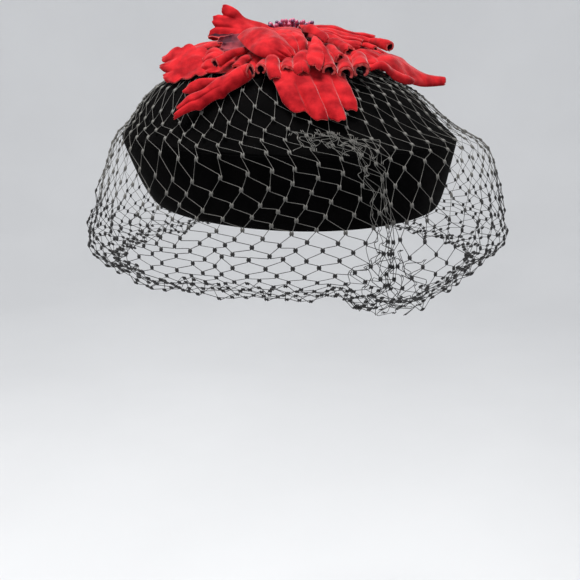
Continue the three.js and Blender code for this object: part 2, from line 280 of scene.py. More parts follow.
print("half way down the dome is", round(smooth_curve(DOME_PROFILE, 0.5), 1), "mm above the edge")

# %% Points of the dome
SEARCH_START = 0.5
SEARCH_ROUNDS = 6
SLOPE_STEP = 0.02


def dome_middle(share):
    """The dome leans to one side, most at its top."""
    return EDGE_SHIFT + DOME_LEAN * (1 - share ** LEAN_POWER)


def dome_point(angle, share):
    return Vector((
        dome_middle(share) + EDGE_HALF_WIDTH * share * math.cos(angle),
        EDGE_HALF_DEPTH * share * math.sin(angle),
        EDGE_HEIGHT + EDGE_LIFT * (math.cos(angle) * share) ** 2 + smooth_curve(DOME_PROFILE, share),
    ))


def raise_off_dome(point, bed):
    """Lift a point until it is at least a bed's height above the dome, measured square to the dome."""
    share = SEARCH_START
    for _ in range(SEARCH_ROUNDS):
        x = (point.x - dome_middle(share)) / EDGE_HALF_WIDTH
        y = point.y / EDGE_HALF_DEPTH
        share = min(math.hypot(x, y), 1.0)
    angle = math.atan2(y, x)
    here = dome_point(angle, share).z
    slope = (dome_point(angle, max(share - SLOPE_STEP, 0.0)).z - here) / (SLOPE_STEP * EDGE_HALF_WIDTH)
    lowest = here + bed * math.hypot(1, slope)
    if share < 1 and point.z < lowest:
        point.z = lowest
    return point


print("dome top at", round(dome_point(0, 0).z, 1), "mm")

# %% [markdown]
# A ring of points is extruded upwards again and again, as one would draw a pot: each new ring is moved to its
# own height and scaled to its own size. More rings than the solids have make the curve look smooth. Cloth
# drawn over a form is never quite even, so a slow noise then moves the points a little.

# %% Rings extruded into a wall
ROUND_STEPS = 144
SEED_WAY = Vector((1.0, 1.7, 2.3))


def drawn_wall(name, rings, closed_top):
    """Extrude a ring of points through (half width, half depth, middle, height) rows."""
    clear_selection()
    bpy.ops.mesh.primitive_circle_add(vertices=ROUND_STEPS, radius=1, fill_type="NOTHING")
    wall = bpy.context.object
    width, depth, middle, height = rings[0]
    bpy.ops.object.mode_set(mode="EDIT")
    bpy.ops.mesh.select_all(action="SELECT")
    bpy.ops.transform.resize(value=(width, depth, 1))
    bpy.ops.transform.translate(value=(middle, 0, height))
    for next_width, next_depth, next_middle, next_height in rings[1:]:
        move = (next_middle - middle, 0, next_height - height)
        growth = (next_width / width, next_depth / depth, 1)
        bpy.ops.mesh.extrude_region_move(TRANSFORM_OT_translate={"value": move})
        bpy.ops.transform.resize(value=growth, center_override=(next_middle, 0, next_height))
        width, depth, middle, height = next_width, next_depth, next_middle, next_height
    if closed_top:
        bpy.ops.mesh.merge(type="COLLAPSE")
    bpy.ops.mesh.select_all(action="SELECT")
    bpy.ops.mesh.normals_make_consistent(inside=False)
    bpy.ops.object.mode_set(mode="OBJECT")
    print(name, "has", len(rings), "rings")
    return join([wall], name)


def soften(point, seed, size, amount):
    """A slow unevenness, as in cloth drawn over a form."""
    return noise.noise(point / size + SEED_WAY * seed) * amount


# %% Crown top
CROWN_RINGS = 30
CROWN_EDGE_SHARES = [1.0, 0.992]
CROWN_INNER_SHARE = 0.984
CROWN_CROWDING = 0.9
CROWN_UNEVEN = {"seed": 3.1, "size": 26, "amount": 0.5}
CROWN_STIFFNESS = 6

inner_shares = [CROWN_INNER_SHARE * (1 - k / CROWN_RINGS) ** CROWN_CROWDING for k in range(CROWN_RINGS)]
crown_rings = []
for share in CROWN_EDGE_SHARES + inner_shares:
    height = EDGE_HEIGHT + SEAM_GAP / 2 + smooth_curve(DOME_PROFILE, share)
    crown_rings.append((EDGE_HALF_WIDTH * share, EDGE_HALF_DEPTH * share, dome_middle(share), height))
crown = drawn_wall("velvet_crown", crown_rings, True)
for vertex in crown.data.vertices:
    x = (vertex.co.x - EDGE_SHIFT) / EDGE_HALF_WIDTH
    vertex.co.z += EDGE_LIFT * x * x
    share = math.hypot(x, vertex.co.y / EDGE_HALF_DEPTH)
    vertex.co.z += soften(vertex.co, **CROWN_UNEVEN) * (1 - share ** CROWN_STIFFNESS)
    vertex.co *= SCALE

# %% [markdown]
# The band flares from the rim up to the widest edge, fast at first and then almost straight. It is drawn in
# the same way, without a closed top, and its rings are closest together where it curves most.

# %% Side band
BAND_RINGS = 14
BAND_CROWDING = 1.4
BAND_UNEVEN = {"seed": 8.4, "size": 22, "amount": 0.45}

band_rings = []
for k in range(BAND_RINGS + 1):
    along = (k / BAND_RINGS) ** BAND_CROWDING
    flare = along ** FLARE_POWER
    band_rings.append((
        mix(RIM_HALF_WIDTH, EDGE_HALF_WIDTH, flare),
        mix(RIM_HALF_DEPTH, EDGE_HALF_DEPTH, flare),
        EDGE_SHIFT * flare,
        along * (EDGE_HEIGHT - SEAM_GAP / 2),
    ))
band = drawn_wall("velvet_band", band_rings, False)
for vertex in band.data.vertices:
    along = vertex.co.z / EDGE_HEIGHT
    flare = clamp(along) ** FLARE_POWER
    x = (vertex.co.x - EDGE_SHIFT * flare) / mix(RIM_HALF_WIDTH, EDGE_HALF_WIDTH, flare)
    vertex.co.z += mix(RIM_LIFT, EDGE_LIFT, along) * x * x
    outward = Vector((vertex.co.x, vertex.co.y, 0)).normalized()
    vertex.co += outward * soften(vertex.co, **BAND_UNEVEN) * math.sin(math.pi * clamp(along))
    vertex.co *= SCALE

# %% [markdown]
# The velvet is turned under at the rim and at the seam, so no edge of the real shell is sharp. Solidify gives
# both walls their thickness, inwards from the drawn face, and Bevel rounds the edges that are left.

# %% Thickness and finish of both walls
EDGE_ROUNDING = 0.8
EDGE_SEGMENTS = 3
SHARP_ANGLE = 50
SMOOTH_ANGLE = 60

for shell, replaced in ((crown, "crown_top"), (band, "side_band")):
    wall = shell.modifiers.new("wall", "SOLIDIFY")
    wall.thickness = WALL * SCALE
    wall.offset = -1
    edge = shell.modifiers.new("edge", "BEVEL")
    edge.width = EDGE_ROUNDING * SCALE
    edge.segments = EDGE_SEGMENTS
    edge.limit_method = "ANGLE"
    edge.angle_limit = math.radians(SHARP_ANGLE)
    apply_modifiers(shell)
    give_finish(shell, black_velvet)
    select_only(shell)
    bpy.ops.object.shade_smooth_by_angle(angle=math.radians(SMOOTH_ANGLE))
    settle(shell)
    place_piece(shell, "black_velvet", replaced)

# %% [markdown]
# The net is made of threads, not of holes. Each thread runs down the veil in a zigzag, and where it meets
# its neighbour the two lie side by side for nearly two millimetres and are bound: that is the little double
# bar at every knot. So the net is drawn as curves with a small section, thicker along the bars, and then
# converted to a mesh. First comes the surface that the threads lie on, from under the flower to the hem.

# %% The rows that the net hangs on
NET_CLEARANCE = 0.75
DOME_STEP = 0.01
# rows on the dome, as a share of the way to the edge
NET_ON_DOME = [0.5, 0.66, 0.8, 0.92]
# rows below the edge: how far below it they lie and how far out
NET_SKIRT = [(0, 3.0), (17, 4.5), (35, 4.0), (51, 2.5), (64, -6.0)]
LAST_ROW = len(NET_ON_DOME) + len(NET_SKIRT) - 1


def net_row_point(angle, row):
    """A point of one of the rows that the measured net has."""
    if row < len(NET_ON_DOME):
        share = NET_ON_DOME[row]
        point = dome_point(angle, share)
        around = dome_point(angle + DOME_STEP, share) - point
        down = dome_point(angle, share + DOME_STEP) - point
        return point + around.cross(down).normalized() * -NET_CLEARANCE
    drop, out = NET_SKIRT[row - len(NET_ON_DOME)]
    return Vector((
        EDGE_SHIFT + (EDGE_HALF_WIDTH + out) * math.cos(angle),
        (EDGE_HALF_DEPTH + out) * math.sin(angle),
        EDGE_HEIGHT + EDGE_LIFT * math.cos(angle) ** 2 - drop,
    ))


print("rows of the measured net:", LAST_ROW + 1)

# %% The surface between the rows
# angle and spread in degrees, how far the net stands out, the row where it starts, and how far it sags
NET_BELLS = [
    (180, 48, 18, 3.6, 9),
    (-5, 46, 27, 1.2, 7),
    (90, 40, 9, 3.6, -11),
    (-62, 11, 5, 3.6, 7),
]
BELL_FULL_ROW = 7
BELL_AT_HEM = 0.72


def curve_between(p0, p1, p2, p3, t):
    """A point of the smooth curve from p1 to p2, with the points before and after them as guides."""
    return (p1 * 2 + (p2 - p0) * t + (p0 * 2 - p1 * 5 + p2 * 4 - p3) * t * t
            + (p1 * 3 - p0 - p2 * 3 + p3) * t ** 3) / 2


def bell(away, spread):
    """1 in the middle, falling off to 0 on both sides."""
    return math.exp(-0.5 * (away / spread) ** 2)


def degrees_apart(a, b):
    """How far a lies past b, from -180 to 180."""
    return (a - b + 180) % 360 - 180


def net_surface(angle, row):
    """The net's surface at any angle and at any place between its rows, with its bells."""
    row = clamp(row, 0, LAST_ROW)
    below = min(int(row), LAST_ROW - 1)
    guides = [net_row_point(angle, clamp(below + k, 0, LAST_ROW)) for k in (-1, 0, 1, 2)]
    point = curve_between(*guides, row - below)
    for middle, spread, out, start, sag in NET_BELLS:
        near = bell(degrees_apart(math.degrees(angle), middle), spread)
        grown = ease(row, start, BELL_FULL_ROW)
        reach = out * near * grown * mix(1, BELL_AT_HEM, clamp(row - BELL_FULL_ROW))
        point.x += reach * math.cos(angle)
        point.y += reach * math.sin(angle)
        point.z -= sag * near * grown
    return point


print("hem in front at", round(net_surface(-math.pi / 2, LAST_ROW).z, 1), "mm")

# %% [markdown]
# A net hung by hand is never even. Over the hat its diamonds are nearly square and lean to one side; below
# the rim they are pulled wide and flat; at the hem the last rows are tucked up inside. In front the net
# doubles over itself in one fold down to the hem, with a short one beside it. The next cell says where each
# knot lies: its angle, its place among the measured rows, and whether a fold or the hem takes it.

# %% Where each knot lies
FRONT = -math.pi / 2
NET_COLUMNS = 56
# the measured row that each row of knots lies on: a thread has one length, so narrow gaps are tall
ROWS_ON_HAT = [0.0, 0.83, 1.47, 2.0, 2.36, 2.72, 3.12, 3.63, 4.1, 4.43, 4.74, 5.05, 5.36, 5.66, 5.97]
RIM_ROW = ROWS_ON_HAT[-1]
HUNG_ROWS = 9
HEM_ROW = len(ROWS_ON_HAT) - 1 + HUNG_ROWS
TUCKED_ROWS = 4
NET_ROWS = HEM_ROW + TUCKED_ROWS + 1
LEAN_ROWS = 1.15
LEAN_GROWS = (0.3, 2.5)
LEAN_FADES = (4.6, 6.9)
TWIST = 0.08
TWIST_MIDDLE_ROW = 3
# angle from the front, width and slack in degrees, and the rows from where to where
FOLDS = [(15.5, 2.8, 3.4, 3.3, 99), (22.5, 2.4, 2.6, 3.8, 6.4)]
FOLD_GROWS = 1.1
FOLD_FADES = 1.2
FOLD_LAYER = 2.4
SLACK_SPREAD = 50.0


def plain_row(j):
    """The measured row that the j-th row of knots starts from."""
    if j < len(ROWS_ON_HAT):
        return ROWS_ON_HAT[j]
    return mix(RIM_ROW, LAST_ROW, (j - HEM_ROW + HUNG_ROWS) / HUNG_ROWS)


def knot_place(i, j):
    """A knot's angle and row, how far a fold raises it, and how far it is tucked up past the hem."""
    tucked = max(0, j - HEM_ROW)
    row = plain_row(min(j, HEM_ROW))
    from_front = (i + (j % 2) / 2) / NET_COLUMNS * 2 * math.pi - math.pi
    from_front += TWIST * (min(row, RIM_ROW) - TWIST_MIDDLE_ROW)
    lean = ease(row, *LEAN_GROWS) * (1 - ease(row, *LEAN_FADES))
    row -= LEAN_ROWS * math.sin(2 * from_front) / 2 * lean
    angle = FRONT + from_front
    layer = 0.0
    for middle, width, slack, first, last in FOLDS:
        away = degrees_apart(math.degrees(from_front), middle)
        grown = ease(row, first, first + FOLD_GROWS) * (1 - ease(row, last, last + FOLD_FADES))
        fold = math.tanh(away / width) * grown
        angle -= math.radians(slack) * fold * bell(away, SLACK_SPREAD)
        layer += FOLD_LAYER * fold * bell(away, 2 * width)
    return angle, row, layer, tucked


print("rows of knots:", NET_ROWS)

# %% [markdown]
# Then each knot is let go a little. Where the net lies on the hat its knots wander slowly and stay close to
# the velvet, and where it hangs they also swing in and out. Past the hem they are rolled up and inwards. A
# seeded generator scatters them, so that every run gives the same net.

# %% A knot and the ways round it
WAY_STEP = 0.02
HANGS_FROM = (4.0, 7.0)
WANDER_SIZE = 21
SWING_SIZE = 15
# each pair is in millimetres: where the net is laid on the hat, and where it hangs
WANDER_ACROSS = (2.0, 3.5)
WANDER_DOWN = (2.0, 3.0)
SCATTER_ACROSS = (0.35, 0.6)
SCATTER_DOWN = (0.35, 0.5)
LIFT = (0.4, 0.0)
SWING = 4.5
SWING_IN = 1.5
SWING_SCATTER = 0.6
LEAST_LIFT = 0.3
DOME_ROWS = 3
TUCK_UP = 1.4
TUCK_IN = 2.0
TUCK_ROLL = 2.2
TUCK_TURN = 1.3
TUCK_SCATTER_UP = 0.9
TUCK_SCATTER_IN = 1.0
TUCK_SCATTER_ACROSS = 2.0
NET_SEED = 11


def wander(place, size, offset=(0, 0, 0)):
    return noise.noise(place / size + Vector(offset))


def knot(i, j, draw):
    """Where a knot lies and which ways are across and down there."""
    angle, row, layer, tucked = knot_place(i, j)
    here = net_surface(angle, row)
    across = (net_surface(angle + WAY_STEP, row) - here).normalized()
    lower = min(row + WAY_STEP, LAST_ROW)
    down = (net_surface(angle, lower) - net_surface(angle, lower - 2 * WAY_STEP)).normalized()
    out = down.cross(across).normalized()
    outward = Vector((math.cos(angle), math.sin(angle), 0))
    if out.dot(outward) + (out.z if row < DOME_ROWS else 0) < 0:
        out.negate()
    free = ease(row, *HANGS_FROM)
    sideways = wander(here, WANDER_SIZE)
    downwards = wander(here, WANDER_SIZE, (9, 4, 2))
    outwards = wander(here, SWING_SIZE, (3, 8, 5))
    here += across * (sideways * mix(*WANDER_ACROSS, free) + draw.gauss(0, mix(*SCATTER_ACROSS, free)))
    here += down * (downwards * mix(*WANDER_DOWN, free) + draw.gauss(0, mix(*SCATTER_DOWN, free)))
    swing = outwards * SWING - SWING_IN + draw.gauss(0, SWING_SCATTER)
    here += out * (abs(outwards) * mix(*LIFT, free) + swing * free)
    here += out * max(layer + LEAST_LIFT, 0)
    if tucked:
        inward = TUCK_IN + TUCK_ROLL * math.sin(tucked * TUCK_TURN)
        here.z += tucked * TUCK_UP + draw.gauss(0, TUCK_SCATTER_UP)
        here -= outward * (inward + draw.gauss(0, TUCK_SCATTER_IN))
        here += across * draw.gauss(0, TUCK_SCATTER_ACROSS)
    return here, across, down


draw = random.Random(NET_SEED)
knots = [[knot(i, j, draw) for i in range(NET_COLUMNS)] for j in range(NET_ROWS)]
print("knots:", sum(len(row_of_knots) for row_of_knots in knots))

# %% [markdown]
# Where the net lies on the hat its threads catch the light from above, so they get a painted highlight: a
# lighter grey against the velvet.
# Where it hangs free they look black and a little thicker, as nothing dark lies behind them. This helper says
# how far a point is laid on the hat, and both the threads and their colour follow it.

# %% Where the net is laid on the hat
LAID_GAP = (18, 30)
LAID_HEIGHT = (-3, 5)


def laid_share(point):
    flare = clamp(point.z / EDGE_HEIGHT) ** FLARE_POWER
    x = (point.x - EDGE_SHIFT * flare) / mix(RIM_HALF_WIDTH, EDGE_HALF_WIDTH, flare)
    y = point.y / mix(RIM_HALF_DEPTH, EDGE_HALF_DEPTH, flare)
    gap = (math.hypot(x, y) - 1) * EDGE_HALF_WIDTH
    return (1 - ease(gap, *LAID_GAP)) * ease(point.z, *LAID_HEIGHT)


laid_knots = sum(laid_share(place) for row_of_knots in knots for place, *_ in row_of_knots)
print("knots laid on the hat:", round(laid_knots))

# %% [markdown]
# Two threads start at every knot of the top row. One takes the left bar there, slips down to the left, takes
# the right bar of the knot that it meets, and comes back; the other is its mirror image. Between the bars the
# thread bows out a little, which rounds the corners of each gap.

# %% Threads
STRAND_LAID = 0.8
STRAND_HANGING = 1.15
BAR_HANGING = 1.18
BAR_RADIUS = 4.3
BAR_END = 0.6
BAR_HALF_LENGTH = 0.85
BAR_HALF_APART = 0.52
BAR_WAIST = 0.7
BOW = 0.12
STRAND_SPOTS = (0.12, 0.5, 0.88)


def strand(start, end, start_way, end_way):
    """Points between two bars, on a curve that leaves and enters along the bars."""
    reach = (end - start).length * BOW
    a = start + start_way * reach
    b = end - end_way * reach
    points = []
    for t in STRAND_SPOTS:
        s = 1 - t
        points.append(start * s ** 3 + a * 3 * s * s * t + b * 3 * s * t * t + end * t ** 3)
    return points


def thread(knots, columns, rows, wraps, bar, column, side):
    """One thread from the top row down, as a list of (point, thickness)."""
    line = []
    previous = None
    for j in range(rows):
        if not wraps and not 0 <= column < columns:
            break
        here, across, down = knots[j][column % columns]
        laid = laid_share(here)
        strand_radius = mix(STRAND_HANGING, STRAND_LAID, laid)
        bar_radius = mix(BAR_HANGING, 1.0, laid) * bar
        foot = here + across * side * BAR_HALF_APART
        waist = here + across * side * BAR_HALF_APART * BAR_WAIST
        top = foot - down * BAR_HALF_LENGTH
        bottom = foot + down * BAR_HALF_LENGTH
        if previous:
            between = strand(previous[0], top, previous[1], down)
            line.extend((point, strand_radius) for point in between)
        line.append((top, bar_radius * BAR_END))
        line.append((waist, bar_radius))
        line.append((bottom, bar_radius * BAR_END))
        previous = (bottom, down)
        column += j % 2 if side > 0 else j % 2 - 1
        side = -side
    return line


def threads(knots, columns, rows, wraps, bar):
    return [thread(knots, columns, rows, wraps, bar, i, side) for i in range(columns) for side in (-1, 1)]


lines = threads(knots, NET_COLUMNS, NET_ROWS, True, BAR_RADIUS)
print("threads:", len(lines))

# %% [markdown]
# On the front, just over the widest edge, a strip of the net is bunched up into a low ridge. From its end a
# tangled fold runs down to the hem, with a loose tangle beside it below the rim. All three are the same net,
# only with its knots pushed together and thrown about, so they are made with the same functions.

# %% Where the bunched strips lie
RIDGE_ANGLES = (-3, 20)
RIDGE_ROW = 3.0
RIDGE_DEPTH = 0.72
RIDGE_SLOPE = 0.45
RIDGE_ARCH = 0.1
FOLD_ROWS = (3.5, 8.0)
# rows, and the angles from the front in degrees at which the fold lies there
FOLD_PATH = [(3.5, 12.0), (4.4, 15.0), (5.97, 16.8), (6.7, 14.0), (7.3, 16.0), (8.0, 20.0)]
FOLD_WIDTHS = (7, 14)
FOLD_WIDENS = (5.8, 7)
TAIL_ANGLES = (15, 27)
TAIL_SLANT = 3
TAIL_ROWS = (6.1, 7.8)


def ridge_place(along, below):
    arch = RIDGE_ARCH * math.sin(math.pi * clamp(along))
    return mix(*RIDGE_ANGLES, along), RIDGE_ROW + RIDGE_DEPTH * below + RIDGE_SLOPE * along - arch


def fold_place(along, below):
    row = mix(*FOLD_ROWS, below)
    width = mix(*FOLD_WIDTHS, ease(row, *FOLD_WIDENS))
    return smooth_curve(FOLD_PATH, row) + (along - 0.5) * width, row


def tail_place(along, below):
    return mix(*TAIL_ANGLES, along) + TAIL_SLANT * below, mix(*TAIL_ROWS, below)


# columns and rows of knots, where they lie, how high they rise, and how far they are scattered
BUNCHES = [
    (9, 5, ridge_place, 2.0, 1.7),
    (3, 19, fold_place, 1.4, 1.6),
    (4, 9, tail_place, 1.2, 2.2),
]
print("bunched strips:", len(BUNCHES))

# %% Threads of the bunched strips
BUNCH_BAR_RADIUS = 1.6
BUNCH_LOW = 0.7
BUNCH_ROUGH = 1.2
BUNCH_SCATTER_DOWN = 0.8
BUNCH_TILT = 0.8
LEAST_RIDGE = 0.0001


def bunched_strip(columns, rows, place, height, scatter, draw):
    """Threads of one strip, whose knots rise into a ridge along its middle and are thrown about."""
    bunch = []
    for j in range(rows):
        row_of_knots = []
        for i in range(columns):
            along = (i + (j % 2) / 2) / columns
            below = j / (rows - 1)
            from_front, row = place(along, below)
            angle = FRONT + math.radians(from_front)
            here = net_surface(angle, row)
            across = (net_surface(angle + WAY_STEP, row) - here).normalized()
            down = (here - net_surface(angle, row - WAY_STEP)).normalized()
            out = across.cross(down).normalized()
            if out.y > 0:
                out.negate()
            ridge = math.sqrt(math.sin(math.pi * along) * math.sin(math.pi * below) + LEAST_RIDGE)
            here += out * (BUNCH_LOW + ridge * height + draw.random() * BUNCH_ROUGH)
            here += across * draw.gauss(0, scatter) + down * draw.gauss(0, scatter * BUNCH_SCATTER_DOWN)
            tilt = draw.gauss(0, BUNCH_TILT)
            row_of_knots.append((here, across, (down + across * tilt).normalized()))
        bunch.append(row_of_knots)
    return threads(bunch, columns, rows, False, BUNCH_BAR_RADIUS)


for columns, rows, place, height, scatter in BUNCHES:
    lines += bunched_strip(columns, rows, place, height, scatter, draw)
print("threads with the bunched strips:", len(lines))

# %% [markdown]
# The thread's colour follows an attribute that the mesh carries: how far each point is laid on the hat. It
# mixes a lighter grey over the black as a painted highlight, so the same net looks grey on the velvet and
# black where it hangs.

# %% Finish of the net
LAID_ATTRIBUTE = "laid_on_hat"
# painted highlight: the lighter grey of the threads laid on the hat, standing in for the light that they
# catch
LAID_PAINTED_HIGHLIGHT = (0.108, 0.105, 0.096, 1)

net_black = cloth(
    "net_thread", dark=(0.006, 0.006, 0.007), light=(0.016, 0.015, 0.015), roughness=0.5, patch_size=9,
    grain_size=0.35, bump=0.5, sheen=0.05, specular=0.4)
nodes = net_black.node_tree.nodes
links = net_black.node_tree.links
laid = nodes.new("ShaderNodeAttribute")
laid.attribute_name = LAID_ATTRIBUTE
# mixes in the painted highlight by how far the thread is laid on the hat
painted_highlight_mix = nodes.new("ShaderNodeMix")
painted_highlight_mix.data_type = "RGBA"
painted_highlight_mix.inputs["B"].default_value = LAID_PAINTED_HIGHLIGHT
links.new(laid.outputs["Fac"], painted_highlight_mix.inputs["Factor"])
links.new(nodes["Color Ramp"].outputs["Color"], painted_highlight_mix.inputs["A"])
links.new(painted_highlight_mix.outputs["Result"], nodes["Principled BSDF"].inputs["Base Color"])

# %% The veil
THREAD_RADIUS = 0.145


def thread_mesh(name, lines):
    """Draw the threads as one curve with a small section, and turn it into a mesh."""
    curve = bpy.data.curves.new(name, "CURVE")
    curve.dimensions = "3D"
    curve.bevel_depth = THREAD_RADIUS * SCALE
    curve.bevel_resolution = 0
    curve.use_fill_caps = True
    for line in lines:
        if len(line) < 2:
            continue
        spline = curve.splines.new("POLY")
        spline.points.add(len(line) - 1)
        spline.points.foreach_set("co", [c for point, _ in line for c in (*(point * SCALE), 1)])
        spline.points.foreach_set("radius", [radius for _, radius in line])
    net = bpy.data.objects.new(name, curve)
    bpy.context.scene.collection.objects.link(net)
    select_only(net)
    bpy.ops.object.convert(target="MESH")
    return bpy.context.object


veil = thread_mesh("net_veil", lines)
laid_on_hat = veil.data.attributes.new(LAID_ATTRIBUTE, "FLOAT", "POINT")
laid_on_hat.data.foreach_set("value", [laid_share(vertex.co / SCALE) for vertex in veil.data.vertices])
give_finish(veil, net_black)
settle(veil)
place_piece(veil, "black_net", "veil_top", "veil_skirt")

# %% [markdown]
# The flower is cut from red velvet backed with a dusty purple lining. Its petals are lobed like oak leaves,
# and the maker curled each lobe, so that many end in little tubes. Three finishes share each petal: the
# velvet face, the lining beneath and the paler cut edge, whose pale pink is partly its own colour and partly
# a painted highlight.
# Inside a rolled petal the lining is painted nearly black, as painted shade for the inside of the roll.

# %% Finishes of the flower
red_velvet = cloth(
    "red_velvet", dark=(0.25, 0.0022, 0.006), light=(0.52, 0.012, 0.017), roughness=0.85, patch_size=6,
    grain_size=0.45, bump=0.7, sheen=0.6, sheen_tint=(1.0, 0.7, 0.7, 1), sheen_roughness=0.3, specular=0.1)
purple_lining = cloth(
    "purple_lining", dark=(0.055, 0.004, 0.014), light=(0.28, 0.035, 0.05), roughness=0.8, patch_size=8,
    grain_size=0.5, bump=0.4, sheen=0.1, sheen_tint=(1.0, 0.8, 0.85, 1), specular=0.2,
    patch_range=(0.4, 0.6))
# painted shade: the lining inside a rolled petal, coloured nearly black for the shade deep in the roll
shade_painted_lining = cloth(
    "shade_painted_lining", dark=(0.018, 0.004, 0.008), light=(0.05, 0.010, 0.02), roughness=0.85, patch_size=5,
    grain_size=0.5, bump=0.3, specular=0.1)
# partly painted highlight: the cut edge's paler pink is partly the frayed edge's own colour and partly a
# highlight along the thin rim
cut_edge = cloth(
    "cut_edge", dark=(0.40, 0.02, 0.022), light=(0.72, 0.13, 0.12), roughness=0.9, patch_size=2.5,
    grain_size=0.4, bump=0.5, sheen=0.2, sheen_tint=(1.0, 0.6, 0.5, 1), specular=0.12)
PETAL_FINISHES = (red_velvet, purple_lining, cut_edge)
# rolled petals take the lining that is painted dark as shade
ROLLED_FINISHES = (red_velvet, shade_painted_lining, cut_edge)

# %% [markdown]
# A petal bends two ways at once and its end is cut into lobes, which edit mode cannot do evenly. So each
# petal starts as a flat grid, and its points are moved in code onto the petal. Two rails give its sides from
# the middle of the flower to the tip. Between them the cloth bows up by the curl, and over 180 degrees it
# closes into a tube. Creases run up from the notches between the lobes.

# %% Rails and lobes of a petal
JUST_UNDER_ONE = 0.9999


def on_curve(points, t):
    """Place and direction on a smooth curve through the points, which runs on straight past its end."""
    spans = len(points) - 1
    at = clamp(t, 0, JUST_UNDER_ONE) * spans
    k = int(at)
    u = at - k
    p0 = points[k - 1] if k > 0 else points[0] * 2 - points[1]
    p1, p2 = points[k], points[k + 1]
    p3 = points[k + 2] if k + 2 <= spans else points[spans] * 2 - points[spans - 1]
    place = curve_between(p0, p1, p2, p3, u)
    way = ((p2 - p0) + (p0 * 2 - p1 * 5 + p2 * 4 - p3) * 2 * u + (p1 * 3 - p0 - p2 * 3 + p3) * 3 * u * u) / 2
    if t > 1:
        place = place + way * (t - 1) * spans
    return place, way


def lobe_reach(petal, side):
    """How far the tip reaches at one place across, and how near that is to the middle of a lobe."""
    reach = petal["reach"]
    peak = petal["peak"]
    at = clamp((side + 1) / 2, 0, JUST_UNDER_ONE) * len(reach)
    within = at - int(at)
    rise = within / peak if within < peak else 1 + (within - peak) / (1 - peak)
    ridge = math.sin(math.pi * rise / 2)
    return reach[int(at)] - petal["notch"] * (1 - ridge) ** 2, ridge


two_lobes = {"reach": (1.0, 1.1), "peak": 0.75, "notch": 0.1}
print("reach across two lobes:", [round(lobe_reach(two_lobes, k / 4)[0], 2) for k in range(-4, 5)])

# %% A point of a petal
WAVE_SIZE = 9.0
WAVE_FROM = (0, 0.25)
CRUMPLE_SIZE = 3.6
CRUMPLE = 0.45
FRAYS = 12
SEED_STEP = 3.7
SIDE_LOBE_MIDDLE = 0.6
SIDE_LOBE_POWER = 3
TIP_DROPS = (0.82, 1.02)
LEAST_CURL = 0.02


def petal_point(petal, side, along):
    """Where a point of the grid lies on the finished petal."""
    reach, ridge = lobe_reach(petal, side)
    fray = 1 + petal["fray"] * noise.noise(Vector((side * FRAYS, 0, petal["seed"])))
    t = along * reach * fray
    left, left_way = on_curve(petal["left"], t)
    right, right_way = on_curve(petal["right"], t)
    lobes, depth = petal["side"]
    across = right - left
    side_lobe = abs(math.sin(math.pi * lobes * t)) - SIDE_LOBE_MIDDLE
    half = across.length / 2 * (1 + depth * side_lobe * abs(side) ** SIDE_LOBE_POWER)
    across.normalize()
    up = across.cross(left_way + right_way).normalized()
    curl = max(math.radians(mix(*petal["curl"], clamp(t))) / 2, LEAST_CURL)
    flat = min(curl, math.pi / 2)
    radius = half / math.sin(flat)
    out = across * math.sin(side * curl) + up * math.cos(side * curl)
    point = (left + right) / 2 + out * radius - up * radius * math.cos(flat)
    sink = petal["crease"] * (1 - ridge) ** 2 * ease(t, petal["crease_from"], 1)
    sink += petal["drop"] * ease(along, *TIP_DROPS)
    seed = Vector((petal["seed"] * SEED_STEP, petal["seed"], 0))
    wave = noise.noise(point / WAVE_SIZE + seed) * petal["wave"]
    wave += noise.noise(point / CRUMPLE_SIZE + seed) * CRUMPLE
    return raise_off_dome(point + out * (wave * ease(t, *WAVE_FROM) - sink), petal["bed"])


print("crumples are", CRUMPLE_SIZE, "mm wide and up to", CRUMPLE, "mm high")

# %% A petal from a grid
PETAL_STEPS = 26
TOWARDS_VIEW = Vector((0, -0.6, 1))


def make_petal(name, petal):
    """Shape one cut piece of velvet. Its rails are swapped if that brings the right face to the view."""
    left, right = petal["left"], petal["right"]
    middle = len(left) // 2
    way = left[middle] - left[middle - 1] + right[middle] - right[middle - 1]
    faces_view = (right[middle] - left[middle]).cross(way).dot(TOWARDS_VIEW) > 0
    if faces_view == petal["turned"]:
        petal = dict(petal, left=right, right=left, reach=petal["reach"][::-1], peak=1 - petal["peak"])
    clear_selection()
    bpy.ops.mesh.primitive_grid_add(x_subdivisions=petal["steps"], y_subdivisions=PETAL_STEPS, size=2)
    piece = bpy.context.object
    piece.name = name
    for vertex in piece.data.vertices:
        vertex.co = petal_point(petal, vertex.co.x, (vertex.co.y + 1) / 2) * SCALE
    wall = piece.modifiers.new("cloth", "SOLIDIFY")
    wall.thickness = petal["thick"] * SCALE
    wall.offset = -1 if petal["rolled"] else 0
    wall.material_offset = 1
    wall.material_offset_rim = 2
    smooth = piece.modifiers.new("smooth", "SUBSURF")
    smooth.levels = 1
    smooth.render_levels = 1
    give_finish(piece, *(ROLLED_FINISHES if petal["rolled"] else PETAL_FINISHES))
    apply_modifiers(piece)
    bpy.ops.object.shade_smooth()
    settle(piece)
    return piece


print("each petal's grid is", PETAL_STEPS, "steps long")

# %% [markdown]
# Each row of the table is one cut piece of velvet. A leaf is given by its two rails, how it curls from root
# to tip in degrees, how far each lobe of its end reaches, and how deep its notches and creases are. A finger
# is one rolled lobe between a root and a tip, and its open end is one of the little tubes. A spot that shows
# was chosen in an enlarged piece of the photograph. It is given by its pixels across and down there
# and by its depth, and the camera says where that is. Hidden spots are given by their place in millimetres.

# %% Spots of the flower
IMAGE_MIDDLE = IMAGE_PIXELS / 2
# the enlarged piece starts at the photograph's top edge, this many of its pixels from the left
PIECE_LEFT = 150
